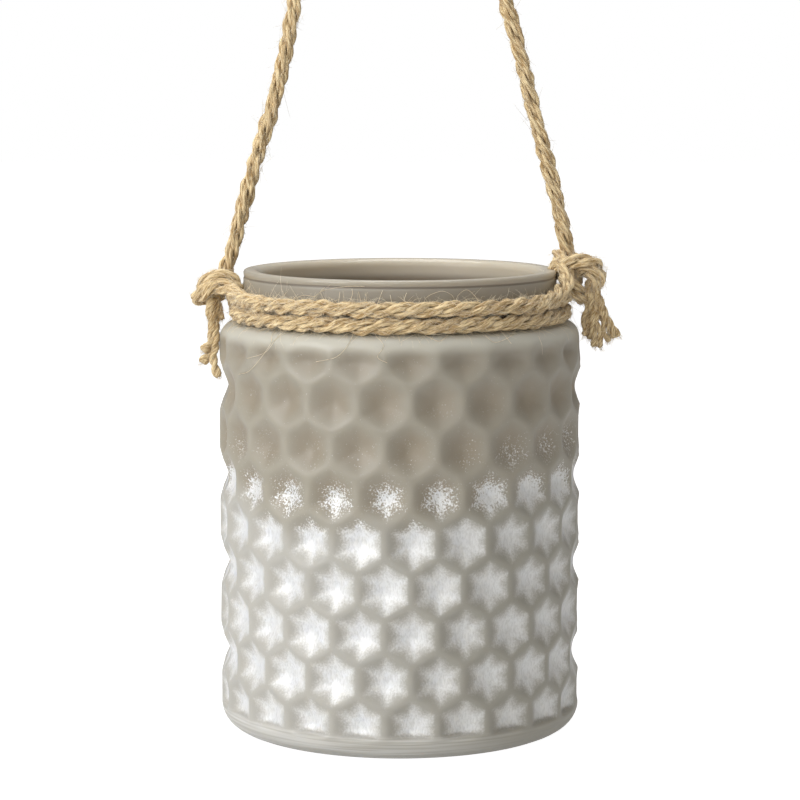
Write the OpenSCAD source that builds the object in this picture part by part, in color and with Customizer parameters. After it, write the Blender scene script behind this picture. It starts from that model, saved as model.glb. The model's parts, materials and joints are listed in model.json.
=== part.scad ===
// Hanging glass lantern.
// A moulded jar with a honeycomb of sunken cells, a rope tied twice round its neck with a knot
// at each side, a rope handle that swings over the mouth, and a tealight on the jar's floor.
// Millimetres, +Z up. The origin is the centre of the base, and the front looks along -Y.

/* [Jar] */
// Diameter of the jar over the ridges between the cells
jar_d = 140; // [136:0.5:141]
// Height of the jar
jar_h = 178; // [174:0.5:190]
// Outer diameter of the neck
neck_d = 121; // [118:0.5:121.5]
// Height of the neck above the shoulder
neck_h = 19.5; // [16:0.5:22]
// Diameter of the mouth
mouth_d = 108; // [100:1:110]
// Diameter of the hollow below the shoulder
cavity_d = 126; // [116:1:126]
// Thickness of the glass floor
floor_t = 8; // [6:0.5:10]
// Radius of the rounded shoulder
shoulder_r = 7.5; // [5:0.5:8]
// Radius of the rounded base corner
base_r = 9; // [7:0.5:9]

/* [Honeycomb] */
// Cells in each ring, an even number for a mould of two halves
cells = 22; // [20:2:24]
// Height from one ring of cells to the next
row_step = 17.2; // [16.4:0.1:17.2]
// Height of the lowest ring's centre
first_row_z = 13.3; // [12.5:0.1:14]
// Depth of a cell at its centre
cell_depth = 3.6; // [2:0.1:3.6]
// Turn of the pattern about the jar's axis, in degrees
pattern_turn = 3.3; // [-8:0.1:8]

/* [Rope] */
// Diameter of the rope
rope_d = 6; // [5:0.1:6]
// Height of the knots' centres, which the handle swings about
knot_z = 177; // [176:0.5:178]
// Distance of each knot's centre from the jar's axis
knot_x = 68.5; // [68.5:0.1:69]
// Radius of each knot's round core
knot_r = 7.6; // [7:0.1:7.6]

/* [Tealight] */
// Outer diameter of the tealight's metal cup
cup_d = 38.5; // [37:0.5:40]
// Height of the metal cup
cup_h = 16; // [14:0.5:20]
// Height of the wax in the cup
wax_h = 13; // [10:0.5:13]

/* [Hidden] */

$fn = 96;
rows = 9;
jar_r = jar_d / 2;
neck_r = neck_d / 2;
mouth_r = mouth_d / 2;
cavity_r = cavity_d / 2;
rope_r = rope_d / 2;
shoulder_z = jar_h - neck_h;

// Glass: the rim's two roundings, the hollow's corners and the wall behind the cells.
rim_out_r = 1;
rim_in_r = 3;
hollow_top_r = cavity_r - mouth_r;
hollow_top_z = shoulder_z - 9.5;
hollow_floor_r = 8;
core_r = jar_r - cell_depth - 0.5;
relief_back_r = core_r - 1;
relief_low_z = 8.7;
relief_high_z = shoulder_z - 2;

// The honeycomb's first and last corners lie this far inside the core's solid ends.
ridge_bury = 0.3;
back_bury = 0.7;
ridge_inset = 0.15;

// Honeycomb: half a cell's angle, and the side of a regular cell.
half_cell = 180 / cells;
cell_side = row_step / 1.5;
ring_n = 2 * cells;

// Rope turns: each lies against the neck, the lower one on the shoulder.
turn_gap = 0.1;
turn_r = neck_r + rope_r + turn_gap;
lower_turn_z = shoulder_z + rope_r + turn_gap;
upper_turn_z = lower_turn_z + rope_d + turn_gap;

// Knots: the smaller lumps beside each core, as [centre, radius].
lump_fn = 32;
left_lumps = [[[-77.3, -1, 167.8], 4], [[-72, -2.5, 171], 6]];
right_lumps = [[[73, -1, 178], 6], [[72, -2.5, 171.5], 6]];

// Tails: the left one is a limp end, the right one is frayed wide.
left_tail_r = 2.4;
left_tail_route = [[-74, -3, 166], [-73.5, -3, 158], [-74, -3.5, 150], [-76, -4, 145],
                   [-75, -5, 140], [-73.5, -6, 135]];
right_tail_top = [73, -3, 172];
right_tail_end = [78, -4, 149];
right_tail_r = [3.4, 6.2];

// The handle's route: up from the left knot, over a hook-sized bend, down to the right knot.
handle_route = [
    [-64.5, 0, 186], [-60.5, 0, 202], [-56, 0, 218], [-51, 0, 234], [-46.5, 0, 250],
    [-43, 0, 266], [-40, 0, 282], [-36.5, 0, 298], [-33, 0, 314], [-29.5, 0, 330],
    [-26, 0, 346], [-22.5, 0, 362], [-19, 0, 378], [-15.5, 0, 394], [-12.5, 0, 407],
    [-9.5, 0, 416], [-5.5, 0, 422], [0, 0, 424], [5.5, 0, 422], [9.5, 0, 416],
    [12.5, 0, 407], [15.5, 0, 394], [18.5, 0, 378], [22, 0, 362], [25.5, 0, 346],
    [29, 0, 330], [32.5, 0, 314], [36, 0, 298], [40, 0, 282], [44.5, 0, 266],
    [48.5, 0, 250], [52.5, 0, 234], [57, 0, 218], [61, 0, 202], [64.5, 0, 186]];
handle_sides = 10;
tail_sides = 8;

// Tealight: a thin cup, a clip that holds the wick upright, and the wax cast round them.
cup_wall = 0.4;
wax_gap = 0.1;
clip_r = 7;
clip_t = 0.5;
clip_tube_r = 1.9;
clip_tube_h = 3.5;
wick_r = 0.9;
wick_h = 20;
cup_floor_z = floor_t + cup_wall;
clip_top_z = cup_floor_z + clip_t;

// The jar's outer radius at height z, rounded at the base and the shoulder.
function outer_r(z) =
    z < base_r
    ? jar_r - base_r + sqrt(base_r * base_r - pow(base_r - z, 2))
    : z > shoulder_z - shoulder_r
    ? jar_r - shoulder_r + sqrt(shoulder_r * shoulder_r - pow(z - shoulder_z + shoulder_r, 2))
    : jar_r;

// A point at radius r and angle a from the front, positive towards +X.
function polar(r, a, z) = [r * sin(a), -r * cos(a), z];

function row_z(row) = first_row_z + row * row_step;

// A cell's centre lies at an even step in every other ring, counted from the lowest one.
function is_centre(row, step) = (row + step) % 2 == 0;

// Ridge line below ring `line`: its corners step up wherever the ring below has a cell's centre.
function ridge_z(line, step) =
    let (z = row_z(line - 1) + (is_centre(line + 1, step) ? cell_side : cell_side / 2))
    min(max(z, relief_low_z - ridge_bury), relief_high_z + ridge_bury);

function ridge_point(line, step) =
    let (z = ridge_z(line, step))
    polar(outer_r(z) - ridge_inset, pattern_turn + step * half_cell, z);

function centre_point(row, cell) =
    let (z = row_z(row), step = 2 * cell + row % 2)
    polar(outer_r(z) - cell_depth, pattern_turn + step * half_cell, z);

function ring_point(r, step, z) = polar(r, pattern_turn + step * half_cell, z);

// A tube's cross-section at one point of its route, across the direction of travel.
function travel(route, i) =
    let (last = len(route) - 1, d = route[min(i + 1, last)] - route[max(i - 1, 0)])
    d / norm(d);
function tube_ring(route, i, r, sides) =
    let (
        t = travel(route, i),
        u = cross(t, [0, 1, 0]) / norm(cross(t, [0, 1, 0])),
        v = cross(u, t)
    )
    [for (k = [0 : sides - 1]) route[i] + r * (cos(360 * k / sides) * u + sin(360 * k / sides) * v)];

module tube(route, r, sides) {
    rings = len(route);
    points = [for (i = [0 : rings - 1]) each tube_ring(route, i, r, sides)];
    walls = [for (i = [0 : rings - 2], k = [0 : sides - 1])
        let (next = (k + 1) % sides)
        [i * sides + k, i * sides + next, (i + 1) * sides + next, (i + 1) * sides + k]];
    start = [for (k = [sides - 1 : -1 : 0]) k];
    end = [for (k = [0 : sides - 1]) (rings - 1) * sides + k];
    polyhedron(points, concat([start], walls, [end]), convexity = 4);
}

// The honeycomb's sleeve: six flat facets sunk to each cell's centre, closed behind.
// Two buried rings at each end carry it into the core.
module honeycomb() {
    ridges = [for (line = [0 : rows], s = [0 : ring_n - 1]) ridge_point(line, s)];
    centres = [for (row = [0 : rows - 1], c = [0 : cells - 1]) centre_point(row, c)];
    low_in = [for (s = [0 : ring_n - 1]) ring_point(relief_back_r, s, relief_low_z - back_bury)];
    high_in = [for (s = [0 : ring_n - 1]) ring_point(relief_back_r, s, relief_high_z + back_bury)];
    first_centre = len(ridges);
    first_low = first_centre + len(centres);
    first_high = first_low + ring_n;
    facets = [for (row = [0 : rows - 1], c = [0 : cells - 1])
        let (
            s = 2 * c + row % 2,
            centre = first_centre + row * cells + c,
            a = (s + ring_n - 1) % ring_n,
            b = s % ring_n,
            d = (s + 1) % ring_n,
            low = row * ring_n,
            high = low + ring_n,
            loop = [low + a, low + b, low + d, high + d, high + b, high + a]
        )
        for (k = [0 : 5]) [centre, loop[(k + 1) % 6], loop[k]]];
    back = [for (s = [0 : ring_n - 1])
        let (n = (s + 1) % ring_n)
        [first_low + s, first_high + s, first_high + n, first_low + n]];
    below = [for (s = [0 : ring_n - 1])
        let (n = (s + 1) % ring_n)
        each [[first_low + s, n, s], [first_low + s, first_low + n, n]]];
    above = [for (s = [0 : ring_n - 1])
        let (n = (s + 1) % ring_n, top = rows * ring_n)
        each [[first_high + s, top + s, top + n], [first_high + s, top + n, first_high + n]]];
    polyhedron(concat(ridges, centres, low_in, high_in), concat(facets, back, below, above),
        convexity = 8);
}

// Half section of the jar's outside, with a recess where the honeycomb goes.
module jar_outside() {
    difference() {
        union() {
            square([jar_r - base_r, shoulder_z]);
            translate([0, base_r]) square([jar_r, shoulder_z - shoulder_r - base_r]);
            translate([jar_r - base_r, base_r]) circle(base_r);
            square([jar_r - shoulder_r, shoulder_z / 2]);
            translate([0, shoulder_z / 2]) square([jar_r - shoulder_r, shoulder_z / 2]);
            translate([jar_r - shoulder_r, shoulder_z - shoulder_r]) circle(shoulder_r);
        }
        translate([core_r, relief_low_z]) square([cell_depth + 2, relief_high_z - relief_low_z]);
    }
    translate([0, shoulder_z - 1]) square([neck_r, neck_h + 1 - rim_out_r]);
    translate([0, jar_h - rim_in_r]) square([neck_r - rim_out_r, rim_in_r]);
    translate([neck_r - rim_out_r, jar_h - rim_out_r]) circle(rim_out_r);
}

// Half section of the hollow, from the floor up through the mouth.
module jar_inside() {
    translate([0, floor_t]) square([cavity_r - hollow_floor_r, hollow_top_z - floor_t]);
    translate([0, floor_t + hollow_floor_r])
        square([cavity_r, hollow_top_z - floor_t - hollow_floor_r]);
    translate([cavity_r - hollow_floor_r, floor_t + hollow_floor_r]) circle(hollow_floor_r);
    translate([mouth_r, hollow_top_z]) circle(hollow_top_r);
}

module rim_rounding() {
    difference() {
        translate([mouth_r - 1, jar_h - rim_in_r]) square([rim_in_r + 1, rim_in_r + 1]);
        translate([mouth_r + rim_in_r, jar_h - rim_in_r]) circle(rim_in_r);
    }
}

module glass_jar() {
    color([0.72, 0.69, 0.63]) {
        difference() {
            rotate_extrude() {
                difference() {
                    intersection() {
                        jar_outside();
                        square([jar_r + 1, jar_h + 1]);
                    }
                    jar_inside();
                    rim_rounding();
                }
            }
            translate([0, 0, hollow_top_z]) cylinder(h = jar_h, r = mouth_r);
        }
        honeycomb();
    }
}

module rope_turn(z) {
    color([0.78, 0.68, 0.5])
        translate([0, 0, z]) rotate_extrude() translate([turn_r, 0]) circle(rope_r);
}

module neck_rope_lower_turn() {
    rope_turn(lower_turn_z);
}

module neck_rope_upper_turn() {
    rope_turn(upper_turn_z);
}

module knot(side, lumps) {
    hull() {
        translate([side * knot_x, 0, knot_z]) sphere(knot_r, $fn = lump_fn);
        for (lump = lumps) translate(lump[0]) sphere(lump[1], $fn = lump_fn);
    }
}

module left_knot() {
    color([0.74, 0.63, 0.44]) knot(-1, left_lumps);
}

module right_knot() {
    color([0.74, 0.63, 0.44]) knot(1, right_lumps);
}

module left_tail() {
    color([0.76, 0.66, 0.48])
        difference() {
            tube(left_tail_route, left_tail_r, tail_sides);
            knot(-1, left_lumps);
        }
}

// The frayed end spreads from the knot, so it is a cone set along its own direction.
module right_tail() {
    run = right_tail_end - right_tail_top;
    lean = acos(run[2] / norm(run));
    heading = atan2(run[1], run[0]);
    color([0.7, 0.6, 0.42])
        difference() {
            translate(right_tail_top) rotate([0, lean, heading])
                cylinder(h = norm(run), r1 = right_tail_r[0], r2 = right_tail_r[1]);
            knot(1, right_lumps);
        }
}

module handle_rope() {
    color([0.8, 0.7, 0.52]) tube(handle_route, rope_r, handle_sides);
}

module tealight_cup() {
    color([0.8, 0.8, 0.82])
        translate([0, 0, floor_t])
            difference() {
                cylinder(h = cup_h, d = cup_d);
                translate([0, 0, cup_wall]) cylinder(h = cup_h, d = cup_d - 2 * cup_wall);
            }
}

module wick_clip() {
    color([0.7, 0.7, 0.72])
        difference() {
            union() {
                translate([0, 0, cup_floor_z]) cylinder(h = clip_t, r = clip_r);
                translate([0, 0, clip_top_z]) cylinder(h = clip_tube_h, r = clip_tube_r);
            }
            translate([0, 0, clip_top_z]) cylinder(h = clip_tube_h + 1, r = wick_r);
        }
}

module tealight_wax() {
    color([0.96, 0.94, 0.88])
        difference() {
            translate([0, 0, cup_floor_z]) cylinder(h = wax_h, r = cup_d / 2 - cup_wall - wax_gap);
            translate([0, 0, cup_floor_z - 1]) cylinder(h = 1 + clip_t, r = clip_r);
            translate([0, 0, cup_floor_z - 1])
                cylinder(h = 1 + clip_t + clip_tube_h, r = clip_tube_r);
            cylinder(h = jar_h / 2, r = wick_r);
        }
}

module tealight_wick() {
    color([0.93, 0.92, 0.88])
        translate([0, 0, clip_top_z]) cylinder(h = wick_h - clip_t, r = wick_r);
}

glass_jar();
neck_rope_lower_turn();
neck_rope_upper_turn();
left_knot();
right_knot();
left_tail();
right_tail();
handle_rope();
tealight_cup();
wick_clip();
tealight_wax();
tealight_wick();
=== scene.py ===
import json
import math

import bpy
import numpy as np
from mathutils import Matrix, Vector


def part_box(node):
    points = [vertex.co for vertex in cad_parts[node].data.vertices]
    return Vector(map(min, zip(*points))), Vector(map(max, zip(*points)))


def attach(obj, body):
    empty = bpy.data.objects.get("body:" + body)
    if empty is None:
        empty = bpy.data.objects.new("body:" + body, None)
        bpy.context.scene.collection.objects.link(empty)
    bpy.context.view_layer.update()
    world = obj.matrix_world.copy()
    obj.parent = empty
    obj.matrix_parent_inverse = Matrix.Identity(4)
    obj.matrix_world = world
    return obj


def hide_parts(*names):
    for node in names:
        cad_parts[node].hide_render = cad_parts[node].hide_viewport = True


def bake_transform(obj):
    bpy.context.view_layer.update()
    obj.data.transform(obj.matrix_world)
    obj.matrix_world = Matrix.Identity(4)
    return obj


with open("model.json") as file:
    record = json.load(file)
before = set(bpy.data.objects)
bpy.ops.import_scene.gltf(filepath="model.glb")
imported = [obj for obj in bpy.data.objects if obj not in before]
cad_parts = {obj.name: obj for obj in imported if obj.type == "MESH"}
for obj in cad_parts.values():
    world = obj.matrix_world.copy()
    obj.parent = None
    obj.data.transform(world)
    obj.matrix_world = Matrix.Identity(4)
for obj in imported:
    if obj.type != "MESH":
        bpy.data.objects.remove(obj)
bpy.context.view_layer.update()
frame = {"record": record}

MM = 0.001
TAU = 2 * math.pi

# ---------------------------------------------------------------- sizes taken from the frame
JAR_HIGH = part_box("glass_jar")[1]
TURN_LOW, TURN_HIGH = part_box("neck_rope_lower_turn")
UPPER_LOW, UPPER_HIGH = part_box("neck_rope_upper_turn")
CUP_LOW, CUP_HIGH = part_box("tealight_cup")
WAX_LOW, WAX_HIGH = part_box("tealight_wax")
CLIP_LOW, CLIP_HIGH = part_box("wick_clip")
WICK_LOW, WICK_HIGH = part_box("tealight_wick")
MOUNTS = {m["name"]: m for m in frame["record"]["mounts"]}

ROPE_D = TURN_HIGH.z - TURN_LOW.z
ROPE_R = ROPE_D / 2
TURN_GAP = 0.1 * MM
TURN_R = TURN_HIGH.x - ROPE_R
NECK_R = TURN_R - ROPE_R - TURN_GAP
SHOULDER_Z = TURN_LOW.z - TURN_GAP
LOWER_TURN_Z = (TURN_LOW.z + TURN_HIGH.z) / 2
UPPER_TURN_Z = (UPPER_LOW.z + UPPER_HIGH.z) / 2
JAR_R = JAR_HIGH.y
JAR_H = JAR_HIGH.z
MOUTH_R = MOUNTS["mouth"]["dims"]["r_mm"] * MM
FLOOR_Z = MOUNTS["candle_floor"]["pos_m"][2]

# Glass details that the frame's boxes don't give.
CAVITY_R = 63 * MM
FLOOR_CORNER_R = 8 * MM
HOLLOW_TOP_Z = SHOULDER_Z - 9.5 * MM
BASE_R = 9 * MM
SHOULDER_R = 7.5 * MM
RIM_OUT_R = 1.0 * MM
RIM_IN_R = 3.0 * MM
RIM_GROOVE_Z = JAR_H - 2.6 * MM
RIM_GROOVE = 0.3 * MM
NECK_FOOT = 1.2 * MM
# The rings of the honeycomb wall lie between these heights.
WALL_LOW_Z = 0.3 * MM
WALL_HIGH_Z = SHOULDER_Z - 0.6 * MM
# The wall is near a parting line where it goes at least this share of the way sideways.
NEAR_PARTING = 0.8

# Honeycomb: 22 cells round, nine rings, each ring half a cell on from the last.
CELLS = 22
ROWS = 9
ROW_STEP = 17.2 * MM
FIRST_ROW_Z = 13.3 * MM
CELL_DEPTH = 3.6 * MM
PATTERN_TURN = math.radians(3.3)
CELL_SIDE = ROW_STEP / 1.5
CELL_ANGLE = TAU / CELLS
STEPS_PER_CELL = 16
# The power of the mean that rounds a cell's corners: the higher, the sharper.
CORNER_POWER = 7
# How sharply a cell's ridge and its lowest point are rounded, and how unlike the cells are.
RIDGE_ROUND = 0.18
BOTTOM_ROUND = 0.34
CELL_VARY = 0.05
# The silver shows as a star in each cell. Its shift a little to one side of the cell's middle is
# painted: it stands in for refraction through the glass and for painted shade on the side of each cell
# that faces away from the key light.
STAR_SHADE_SHIFT = 0.12
STAR_POINT = 0.55
STAR_VARY = 0.08
RELIEF_LOW_Z = 8.7 * MM
RELIEF_HIGH_Z = SHOULDER_Z - 2 * MM
# Values of the reach and star attributes where the glass has no cells.
NO_CELL = 1.0
NO_STAR = 1.6

# The handle's route, as the CAD rope has it, with a stretch inside each knot at its ends.
HANDLE_ROUTE = [
    (-0.0645, 0, 0.186), (-0.0605, 0, 0.202), (-0.056, 0, 0.218), (-0.051, 0, 0.234),
    (-0.0465, 0, 0.250), (-0.043, 0, 0.266), (-0.040, 0, 0.282), (-0.0365, 0, 0.298),
    (-0.033, 0, 0.314), (-0.0295, 0, 0.330), (-0.026, 0, 0.346), (-0.0225, 0, 0.362),
    (-0.019, 0, 0.378), (-0.0155, 0, 0.394), (-0.0125, 0, 0.407), (-0.0095, 0, 0.416),
    (-0.0055, 0, 0.422), (0, 0, 0.424), (0.0055, 0, 0.422), (0.0095, 0, 0.416),
    (0.0125, 0, 0.407), (0.0155, 0, 0.394), (0.0185, 0, 0.378), (0.022, 0, 0.362),
    (0.0255, 0, 0.346), (0.029, 0, 0.330), (0.0325, 0, 0.314), (0.036, 0, 0.298),
    (0.040, 0, 0.282), (0.0445, 0, 0.266), (0.0485, 0, 0.250), (0.0525, 0, 0.234),
    (0.057, 0, 0.218), (0.061, 0, 0.202), (0.0645, 0, 0.186)]
LEFT_END = [(-0.0685, 0.001, 0.172), (-0.0668, 0.0005, 0.179)]
RIGHT_END = [(0.0668, 0.0005, 0.179), (0.0685, 0.001, 0.172)]


# ---------------------------------------------------------------- camera, lights and floor
# The view was fitted to the photo's honeycomb, rim and base.
LENS_MM = 123.3
CAMERA_PLACE = (0, -1.058, 0.2575)
CAMERA_DOWN_DEG = 7.04
# Each lamp's name, place, two sides in metres and power in watts. All aim at the jar's middle.
LAMPS = [("key", (-1.05, -0.75, 0.62), (0.7, 0.9), 11),
         ("front_fill", (-0.25, -1.5, 0.75), (0.9, 0.5), 5.2),
         ("top", (-0.1, 0.15, 1.1), (0.8, 0.8), 8)]
LAMP_AIM = (0, 0, 0.09)
# The camera sees plain white behind the lantern, and the lantern is lit by a weaker white.
SEEN_WHITE = (1, 1, 1, 1)
ROOM_LIGHT = (1.0, 0.98, 0.95, 1)
ROOM_STRENGTH = 0.26
FLOOR_HALF = 6.0
FLOOR_GREY = (0.4, 0.4, 0.4)
FLOOR_GLOW_SEEN = 0.96
FLOOR_GLOW_LIGHT = 0.3


def make_camera():
    data = bpy.data.cameras.new("camera")
    data.sensor_width = 36
    data.lens = LENS_MM
    camera = bpy.data.objects.new("camera", data)
    camera.location = CAMERA_PLACE
    camera.rotation_euler = (math.radians(90 - CAMERA_DOWN_DEG), 0, 0)
    bpy.context.scene.collection.objects.link(camera)
    bpy.context.scene.camera = camera


def make_lamp(name, place_at, sides, power):
    data = bpy.data.lights.new(name, "AREA")
    data.shape = "RECTANGLE"
    data.size, data.size_y = sides
    data.energy = power
    lamp = bpy.data.objects.new(name, data)
    lamp.location = place_at
    aim = Vector(LAMP_AIM) - Vector(place_at)
    lamp.rotation_euler = aim.to_track_quat("-Z", "Y").to_euler()
    bpy.context.scene.collection.objects.link(lamp)


def make_world():
    """White for the camera and a weaker, slightly warm white for everything else."""
    world = bpy.data.worlds.new("studio")
    bpy.context.scene.world = world
    world.use_nodes = True
    tree = world.node_tree
    tree.nodes.clear()
    out = tree.nodes.new("ShaderNodeOutputWorld")
    mix = tree.nodes.new("ShaderNodeMixShader")
    ray = tree.nodes.new("ShaderNodeLightPath")
    seen = tree.nodes.new("ShaderNodeBackground")
    lit = tree.nodes.new("ShaderNodeBackground")
    seen.inputs["Color"].default_value = SEEN_WHITE
    lit.inputs["Color"].default_value = ROOM_LIGHT
    lit.inputs["Strength"].default_value = ROOM_STRENGTH
    tree.links.new(ray.outputs["Is Camera Ray"], mix.inputs[0])
    tree.links.new(lit.outputs[0], mix.inputs[1])
    tree.links.new(seen.outputs[0], mix.inputs[2])
    tree.links.new(mix.outputs[0], out.inputs["Surface"])


def make_floor():
    """A wide plain floor that belongs to the studio, not to the lantern."""
    half = FLOOR_HALF
    mesh = bpy.data.meshes.new("floor")
    corners = [(-half, -half, 0), (half, -half, 0), (half, half, 0), (-half, half, 0)]
    mesh.from_pydata(corners, [], [(0, 1, 2, 3)])
    floor = bpy.data.objects.new("floor", mesh)
    bpy.context.scene.collection.objects.link(floor)
    mesh.materials.append(floor_material())


def floor_material():
    """A white sweep: bright enough to meet the white behind it, with a faint soft shadow."""
    n = Nodes("white_sweep")
    ray = n.tree.nodes.new("ShaderNodeLightPath")
    glow = n.ramp(ray.outputs["Is Camera Ray"], 0, 1, FLOOR_GLOW_LIGHT, FLOOR_GLOW_SEEN)
    n.set(Base_Color=FLOOR_GREY, Roughness=0.9, Emission_Color=(1, 1, 1), Emission_Strength=glow)
    return n.material


# ---------------------------------------------------------------- node helpers
class Nodes:
    """Short calls for building a material's node tree."""

    def __init__(self, name):
        self.material = bpy.data.materials.new(name)
        self.material.use_nodes = True
        self.tree = self.material.node_tree
        self.shader = self.tree.nodes["Principled BSDF"]

    def link(self, value, socket):
        if isinstance(value, bpy.types.NodeSocket):
            self.tree.links.new(value, socket)
        elif hasattr(value, "__len__") and len(value) == 3 and socket.type == "RGBA":
            socket.default_value = (*value, 1)
        else:
            socket.default_value = value

    def set(self, **values):
        for name, value in values.items():
            self.link(value, self.shader.inputs[name.replace("_", " ")])

    def attribute(self, name):
        node = self.tree.nodes.new("ShaderNodeAttribute")
        node.attribute_name = name
        return node

    def position(self):
        return self.tree.nodes.new("ShaderNodeTexCoord").outputs["Object"]

    def split(self, vector):
        node = self.tree.nodes.new("ShaderNodeSeparateXYZ")
        self.link(vector, node.inputs[0])
        return node.outputs

    def scaled(self, vector, scale):
        node = self.tree.nodes.new("ShaderNodeMapping")
        self.link(vector, node.inputs["Vector"])
        node.inputs["Scale"].default_value = scale
        return node.outputs[0]

    def noise(self, vector, scale, detail=2.0, rough=0.5):
        node = self.tree.nodes.new("ShaderNodeTexNoise")
        self.link(vector, node.inputs["Vector"])
        node.inputs["Scale"].default_value = scale
        node.inputs["Detail"].default_value = detail
        node.inputs["Roughness"].default_value = rough
        return node.outputs["Fac"]

    def math(self, kind, a, b=0.0):
        node = self.tree.nodes.new("ShaderNodeMath")
        node.operation = kind
        self.link(a, node.inputs[0])
        self.link(b, node.inputs[1])
        return node.outputs[0]

    def ramp(self, value, low, high, to_low=0.0, to_high=1.0, smooth=True):
        node = self.tree.nodes.new("ShaderNodeMapRange")
        node.interpolation_type = "SMOOTHSTEP" if smooth else "LINEAR"
        self.link(value, node.inputs["Value"])
        self.link(low, node.inputs["From Min"])
        self.link(high, node.inputs["From Max"])
        self.link(to_low, node.inputs["To Min"])
        self.link(to_high, node.inputs["To Max"])
        return node.outputs["Result"]

    def mix(self, factor, a, b):
        node = self.tree.nodes.new("ShaderNodeMix")
        node.data_type = "RGBA"
        self.link(factor, node.inputs["Factor"])
        self.link(a, node.inputs[6])
        self.link(b, node.inputs[7])
        return node.outputs[2]

    def bump(self, height, strength, distance):
        node = self.tree.nodes.new("ShaderNodeBump")
        node.inputs["Strength"].default_value = strength
        node.inputs["Distance"].default_value = distance
        self.link(height, node.inputs["Height"])
        return node.outputs[0]


# ---------------------------------------------------------------- mesh helpers
def make_piece(name, points, faces, material, attributes=None):
    mesh = bpy.data.meshes.new(name)
    mesh.from_pydata(np.asarray(points).tolist(), [], faces)
    for key, values in (attributes or {}).items():
        values = np.asarray(values, np.float32)
        kind, field = ("FLOAT_VECTOR", "vector") if values.ndim == 2 else ("FLOAT", "value")
        layer = mesh.attributes.new(key, kind, "POINT")
        layer.data.foreach_set(field, values.ravel())
    mesh.shade_smooth()
    mesh.materials.append(material)
    mesh.update()
    piece = bpy.data.objects.new(name, mesh)
    bpy.context.scene.collection.objects.link(piece)
    return piece


def place(piece, body, slot, *nodes):
    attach(piece, body)
    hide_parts(*nodes)


def grid_faces(rings, columns, offset=0):
    """Quads between rings of points that close round an axis."""
    ring, column = np.meshgrid(np.arange(rings - 1), np.arange(columns), indexing="ij")
    beside = (column + 1) % columns
    low, high = ring * columns, (ring + 1) * columns
    quads = np.stack([low + column, low + beside, high + beside, high + column], -1)
    return (quads.reshape(-1, 4) + offset).tolist()


def arc(centre_r, centre_z, radius, start, end, count):
    """Points (r, z) along an arc, its angles in degrees from the outward direction."""
    turn = np.radians(np.linspace(start, end, count))
    return [(centre_r + radius * math.cos(t), centre_z + radius * math.sin(t)) for t in turn]


def lathe(profile, columns):
    """Points of a profile [(r, z), ...] turned round the Z axis, ring by ring."""
    turn = TAU * np.arange(columns) / columns
    rings = np.array(profile)
    points = np.empty((len(rings), columns, 3))
    points[:, :, 0] = rings[:, :1] * np.sin(turn)
    points[:, :, 1] = -rings[:, :1] * np.cos(turn)
    points[:, :, 2] = rings[:, 1:]
    return points


def capped_faces(rings, columns):
    """Faces of a lathe whose first and last rings are closed with a polygon."""
    faces = grid_faces(rings, columns)
    faces.append(list(range(columns))[::-1])
    faces.append(list(range((rings - 1) * columns, rings * columns)))
    return faces


def ring_piece(name, points, material, attributes=None):
    """A closed piece from rings of points round the Z axis, of shape (rings, columns, 3)."""
    rings, columns = points.shape[:2]
    return make_piece(name, points.reshape(-1, 3), capped_faces(rings, columns), material,
                      attributes)


# ---------------------------------------------------------------- glass jar
def smoothstep(low, high, value):
    t = np.clip((value - low) / (high - low), 0, 1)
    return t * t * (3 - 2 * t)


def wall_r(z):
    """Radius of the outside before the cells are sunk into it."""
    z = np.asarray(z, float)
    low = JAR_R - BASE_R + np.sqrt(np.maximum(BASE_R ** 2 - np.maximum(BASE_R - z, 0) ** 2, 0))
    over = np.maximum(z - SHOULDER_Z + SHOULDER_R, 0)
    high = JAR_R - SHOULDER_R + np.sqrt(np.maximum(SHOULDER_R ** 2 - over ** 2, 0))
    return np.minimum(low, high)


def hexagon_sides(across, up):
    """How far out a point is towards each pair of a hexagon's sides, the least first. A side
    is at 1."""
    c, s = math.cos(math.radians(60)), math.sin(math.radians(60))
    return np.sort(np.abs(np.stack([across, across * c + up * s, across * c - up * s])), axis=0)


def cell_metrics(angle, z):
    """For the cell that each point is in: how far out the point is, from 0 at the centre to 1 at
    the border, the same with rounded corners, the same for a star, and the cell's row and column."""
    half_width = CELL_ANGLE / 2
    best = None
    for row in range(-1, ROWS + 1):
        shift = (row % 2) * half_width
        column = np.round((angle - PATTERN_TURN - shift) / CELL_ANGLE)
        across = (angle - PATTERN_TURN - shift - column * CELL_ANGLE) / half_width
        up = (z - FIRST_ROW_Z - row * ROW_STEP) / (CELL_SIDE * math.cos(math.pi / 6))
        across, up = np.broadcast_arrays(across, up)
        sides = hexagon_sides(across, up)
        reach = sides[2]
        soft = (sides ** CORNER_POWER).sum(0) ** (1 / CORNER_POWER)
        # The star is moved off the cell's middle: painted shade on one side of each cell.
        sides = hexagon_sides(across - STAR_SHADE_SHIFT, up)
        star = sides[2] + STAR_POINT * (sides[2] - sides[1])
        found = np.stack([reach, soft, star, np.full_like(across, row),
                          np.broadcast_to(column, across.shape)])
        best = found if best is None else np.where(found[0] < best[0], found, best)
    return best


def cell_dip(soft, row, column):
    """Depth of the sunken pyramid, with a rounded ridge and a rounded bottom."""
    edge = math.sqrt(1 + BOTTOM_ROUND ** 2)
    slope = np.clip(edge - np.sqrt(soft ** 2 + BOTTOM_ROUND ** 2), 0, None) / (edge - BOTTOM_ROUND)
    dip = slope ** 2 / (slope + RIDGE_ROUND) * (1 + RIDGE_ROUND)
    # These two factors and those of the star's unevenness only make neighbouring cells differ.
    vary = 1 + CELL_VARY * np.sin(12.9898 * row + 78.233 * column)
    return CELL_DEPTH * dip * vary


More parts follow.
